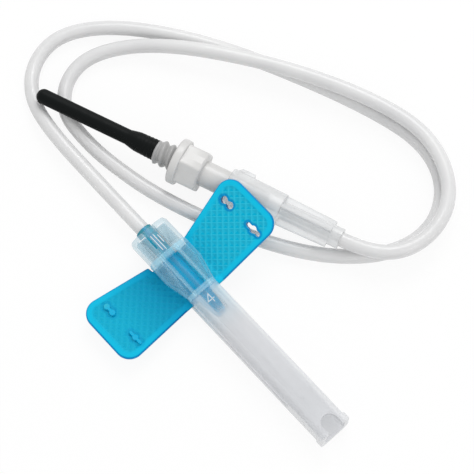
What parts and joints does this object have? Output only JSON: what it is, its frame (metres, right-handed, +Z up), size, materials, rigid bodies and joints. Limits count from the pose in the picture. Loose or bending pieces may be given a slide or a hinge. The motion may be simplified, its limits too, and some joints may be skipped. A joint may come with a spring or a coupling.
{
  "type": "safety butterfly needle",
  "caption": "Winged blood collection needle with a sliding clear safety shield, soft tube, luer connector and adapter with a sleeved rear needle.",
  "frame": {"origin": "on the floor under the front needle, at the middle of the shield's flat underside", "axes": "+X along the front needle towards its tip, +Z up"},
  "size_m": [0.0984, 0.075, 0.0103],
  "materials": {
    "blue_plastic": "tinted translucent, smooth",
    "blue_wing": "tinted translucent, waffled",
    "needle_steel": "ground, polished",
    "clear_shield": "clear to frosted, moulded",
    "soft_tube": "soft, translucent",
    "clear_connector": "clear, moulded",
    "white_adapter": "milky translucent, moulded",
    "black_rubber": "smooth"
  },
  "bodies": {
    "hub": {"needle_hub": "blue_plastic", "front_needle": "needle_steel", "tubing": "soft_tube", "tube_connector": "clear_connector"},
    "shield": {"safety_shield": "clear_shield"},
    "left_wing": {"wing_left": "blue_wing"},
    "right_wing": {"wing_right": "blue_wing"},
    "adapter": {"adapter_body": "white_adapter", "rear_needle": "needle_steel", "rubber_sleeve": "black_rubber"}
  },
  "joints": [
    {"name": "shield_slide", "type": "slide", "parent": "hub", "child": "shield", "axis": [1, 0, 0], "range_m": [-0.026, 0]},
    {"name": "wing_left_fold", "type": "hinge", "parent": "hub", "child": "left_wing", "pos_m": [-0.01475, -0.0048, 0.00352], "axis": [-1, 0, 0], "range_deg": [-1, 80], "stiffness_Nm_per_rad": 0.002},
    {"name": "wing_right_fold", "type": "hinge", "parent": "hub", "child": "right_wing", "pos_m": [-0.01475, 0.0048, 0.00352], "axis": [1, 0, 0], "range_deg": [0, 57], "stiffness_Nm_per_rad": 0.002},
    {"name": "luer_pull", "type": "slide", "parent": "hub", "child": "adapter", "axis": [-0.9363, -0.3512, 0], "range_m": [0, 0.01]}
  ]
}
